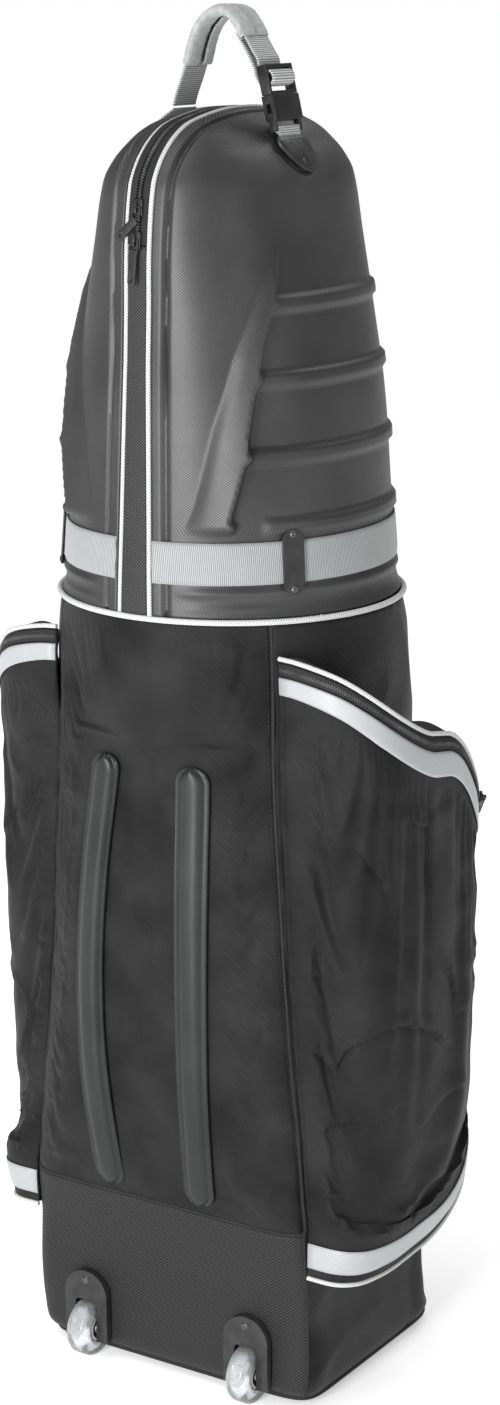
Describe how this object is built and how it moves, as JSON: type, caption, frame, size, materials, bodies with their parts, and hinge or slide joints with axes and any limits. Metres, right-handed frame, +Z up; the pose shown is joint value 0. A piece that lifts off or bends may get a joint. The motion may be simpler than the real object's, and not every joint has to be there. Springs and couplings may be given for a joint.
{
  "type": "golf travel case",
  "caption": "Upright wheeled golf bag travel case: moulded clamshell top with rim cord and belt, soft padded body, zipped side pockets, skid rails, wheels and a buckled top handle.",
  "frame": {"origin": "on the floor, below the middle of the case, on the underside of the base", "axes": "+Z up the case, -Y towards the wheel side with the skid rails, +X towards the right-hand pocket"},
  "size_m": [0.49, 0.36, 1.366],
  "materials": {
    "moulded_shell": "woven-look satin laminate",
    "white_cord": "smooth woven cord",
    "woven_strip": "flat woven strip",
    "zip_tape": "zip tape",
    "zip_teeth": "coil teeth",
    "belt_webbing": "ribbed webbing",
    "plate_plastic": "matt",
    "rivet_metal": "black paint",
    "buckle_plastic": "satin",
    "slider_metal": "black paint",
    "pull_rubber": "matt",
    "handle_webbing": "cross-ribbed webbing",
    "handle_grip": "padded cloth",
    "body_fabric": "twill polyester",
    "ballistic_fabric": "coarse basket weave",
    "gusset_fabric": "plain weave",
    "silver_trim": "fine weave",
    "base_plastic": "matt",
    "rail_leather": "smooth moulded",
    "clear_tyre": "clear cast",
    "hub_plastic": "gloss",
    "bearing_steel": "ground",
    "axle_steel": "zinc plated",
    "housing_plastic": "fine grain"
  },
  "bodies": {
    "case": {"shell_left": "moulded_shell", "shell_right": "moulded_shell", "shell_pipings": "white_cord", "back_strip": "woven_strip", "zip_tapes": "zip_tape", "zip_chain": "zip_teeth", "rim_piping": "white_cord", "belt_left": "belt_webbing", "belt_right": "belt_webbing", "keeper_left": "plate_plastic", "keeper_right": "plate_plastic", "keeper_rivets": "rivet_metal", "belt_socket": "buckle_plastic", "plate_left": "plate_plastic", "plate_right": "plate_plastic", "plate_rivets": "rivet_metal", "anchor_tab_left": "handle_webbing", "anchor_tab_right": "handle_webbing", "handle_socket": "buckle_plastic", "back_panel": "body_fabric", "kick_panel": "ballistic_fabric", "side_wall_left": "body_fabric", "side_wall_right": "body_fabric", "base_skin": "ballistic_fabric", "base_board": "base_plastic", "rail_left": "rail_leather", "rail_right": "rail_leather", "axle_left": "axle_steel", "axle_right": "axle_steel", "housing_left": "housing_plastic", "housing_right": "housing_plastic", "housing_rivets": "rivet_metal", "pocket_left": "body_fabric", "pocket_right": "body_fabric", "pocket_gusset_left": "gusset_fabric", "pocket_gusset_right": "gusset_fabric", "pocket_trim_left": "silver_trim", "pocket_trim_right": "silver_trim", "pocket_zip_left": "zip_tape", "pocket_zip_right": "zip_tape", "pocket_piping_left": "white_cord", "pocket_piping_right": "white_cord"},
    "wheel_left": {"tyre_left": "clear_tyre", "hub_left": "hub_plastic", "bearings_left": "bearing_steel"},
    "wheel_right": {"tyre_right": "clear_tyre", "hub_right": "hub_plastic", "bearings_right": "bearing_steel"},
    "handle": {"handle_webbing": "handle_webbing", "handle_pad": "handle_grip", "handle_plug": "buckle_plastic"},
    "upper_slider": {"upper_slider": "slider_metal"},
    "upper_pull": {"upper_pull": "pull_rubber"},
    "lower_slider": {"lower_slider": "slider_metal"},
    "lower_pull": {"lower_pull": "pull_rubber"},
    "belt_plug": {"belt_plug": "buckle_plastic"},
    "pocket_slider_left": {"pocket_slider_left": "slider_metal"},
    "pocket_slider_right": {"pocket_slider_right": "slider_metal"},
    "pocket_pull_left": {"pocket_pull_left": "pull_rubber"},
    "pocket_pull_right": {"pocket_pull_right": "pull_rubber"}
  },
  "joints": [
    {"name": "wheel_left_spin", "type": "hinge", "parent": "case", "child": "wheel_left", "pos_m": [-0.098, -0.121, 0.03], "axis": [1, 0, 0], "continuous": true},
    {"name": "wheel_right_spin", "type": "hinge", "parent": "case", "child": "wheel_right", "pos_m": [0.098, -0.121, 0.03], "axis": [1, 0, 0], "continuous": true},
    {"name": "upper_zip_travel", "type": "slide", "parent": "case", "child": "upper_slider", "axis": [0, 0.1263, 0.992], "range_m": [0, 0.025]},
    {"name": "lower_zip_travel", "type": "slide", "parent": "case", "child": "lower_slider", "axis": [0, 0.1263, 0.992], "range_m": [0, 0.005]},
    {"name": "upper_pull_swing", "type": "hinge", "parent": "upper_slider", "child": "upper_pull", "pos_m": [0, -0.15937, 1.18669], "axis": [-1, 0, 0], "range_deg": [0, 150]},
    {"name": "lower_pull_swing", "type": "hinge", "parent": "lower_slider", "child": "lower_pull", "pos_m": [0, -0.16319, 1.15669], "axis": [-1, 0, 0], "range_deg": [0, 110]},
    {"name": "handle_open", "type": "hinge", "parent": "case", "child": "handle", "pos_m": [-0.048, -0.008, 1.268], "axis": [0, -1, 0], "range_deg": [0, 95]},
    {"name": "belt_release", "type": "slide", "parent": "case", "child": "belt_plug", "axis": [1, 0, 0], "range_m": [0, 0.022]},
    {"name": "pocket_right_zip_travel", "type": "slide", "parent": "case", "child": "pocket_slider_right", "axis": [0.4942, -0.6479, 0.5796], "range_m": [0, 0.02]},
    {"name": "pocket_left_zip_travel", "type": "slide", "parent": "case", "child": "pocket_slider_left", "axis": [-0.4942, -0.6479, 0.5796], "range_m": [0, 0.02]},
    {"name": "pocket_right_pull_swing", "type": "hinge", "parent": "pocket_slider_right", "child": "pocket_pull_right", "pos_m": [0.23115, 0.10215, 0.5973], "axis": [0.3516, -0.4608, -0.8149], "range_deg": [0, 150]},
    {"name": "pocket_left_pull_swing", "type": "hinge", "parent": "pocket_slider_left", "child": "pocket_pull_left", "pos_m": [-0.23115, 0.10215, 0.5973], "axis": [0.3516, 0.4608, 0.8149], "range_deg": [0, 150]}
  ]
}
